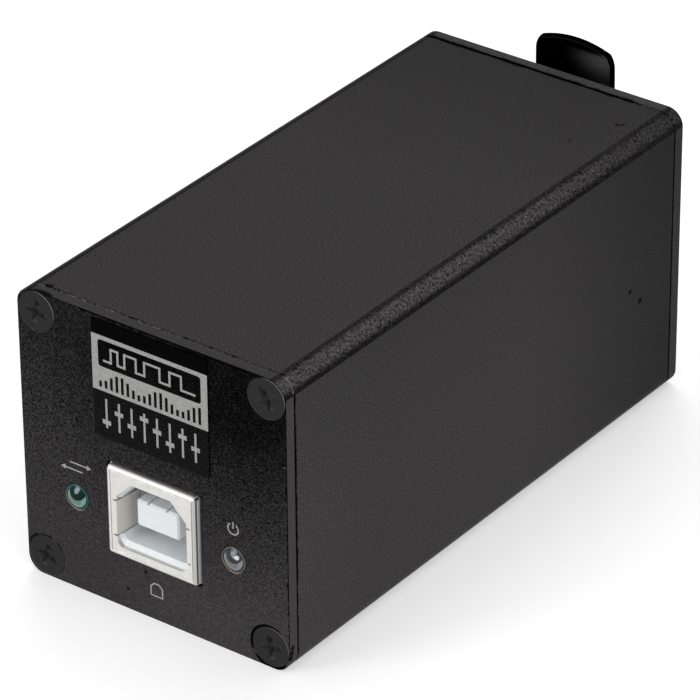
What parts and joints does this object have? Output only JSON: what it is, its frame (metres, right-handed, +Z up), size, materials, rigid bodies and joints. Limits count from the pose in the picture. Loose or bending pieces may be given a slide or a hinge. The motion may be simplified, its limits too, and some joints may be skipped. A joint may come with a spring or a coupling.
{
  "type": "usb dmx interface",
  "caption": "Palm-sized black aluminium box that turns USB into DMX: USB type B socket and lamps in front, latching XLR socket at the rear.",
  "frame": {"origin": "middle of the underside of the case, where it rests", "axes": "+X to the right as the front is seen, +Y from the front panel to the rear, +Z up"},
  "size_m": [0.035, 0.078, 0.0369],
  "materials": {
    "case_black": "fine sand-textured black anodising",
    "screw_black": "black oxide, semi-matte",
    "label_film": "black film with a silver band",
    "socket_nickel": "bright nickel plate on sheet steel",
    "socket_white": "moulded white plastic",
    "contact_gold": "gold plated",
    "lens_green": "clear green epoxy",
    "lens_clear": "water-clear epoxy",
    "lead_tinned": "tinned",
    "board_green": "green solder mask",
    "chip_black": "moulded epoxy",
    "can_bare": "bare drawn can",
    "crystal_steel": "bare drawn can",
    "resistor_black": "glazed black top",
    "ceramic_tan": "fired tan ceramic",
    "fuse_green": "coated polymer",
    "xlr_black": "moulded black plastic",
    "sleeve_silver": "silver plated",
    "latch_black": "polished moulded black plastic",
    "pin_steel": "drawn steel",
    "spring_steel": "spring wire"
  },
  "bodies": {
    "case": {"housing_tube": "case_black", "front_panel": "case_black", "rear_panel": "case_black", "front_panel_screws": "screw_black", "rear_panel_screws": "screw_black", "front_label": "label_film", "usb_shell": "socket_nickel", "usb_insulator": "socket_white", "usb_contacts": "contact_gold", "data_led_lens": "lens_green", "data_led_leads": "lead_tinned", "power_led_lens": "lens_clear", "power_led_leads": "lead_tinned", "circuit_board": "board_green", "usb_bridge_chip": "chip_black", "usb_bridge_legs": "lead_tinned", "microcontroller_chip": "chip_black", "microcontroller_legs": "lead_tinned", "line_driver_chip": "chip_black", "line_driver_legs": "lead_tinned", "crystal_can": "crystal_steel", "capacitor_base": "chip_black", "electrolytic_capacitor": "can_bare", "resettable_fuse": "fuse_green", "chip_resistors": "resistor_black", "ceramic_capacitors": "ceramic_tan", "xlr_housing": "xlr_black", "xlr_insert": "xlr_black", "xlr_contacts": "sleeve_silver", "xlr_screws": "screw_black", "latch_pivot_pin": "pin_steel", "latch_spring": "spring_steel"},
    "latch": {"latch_lever": "latch_black"}
  },
  "joints": [
    {"name": "latch_rock", "type": "hinge", "parent": "case", "child": "latch", "pos_m": [0, 0.0317, 0.0313], "axis": [1, 0, 0], "range_deg": [0, 12], "stiffness_Nm_per_rad": 0.05, "springref_deg": -17.19, "deforming": ["latch_spring"]}
  ]
}
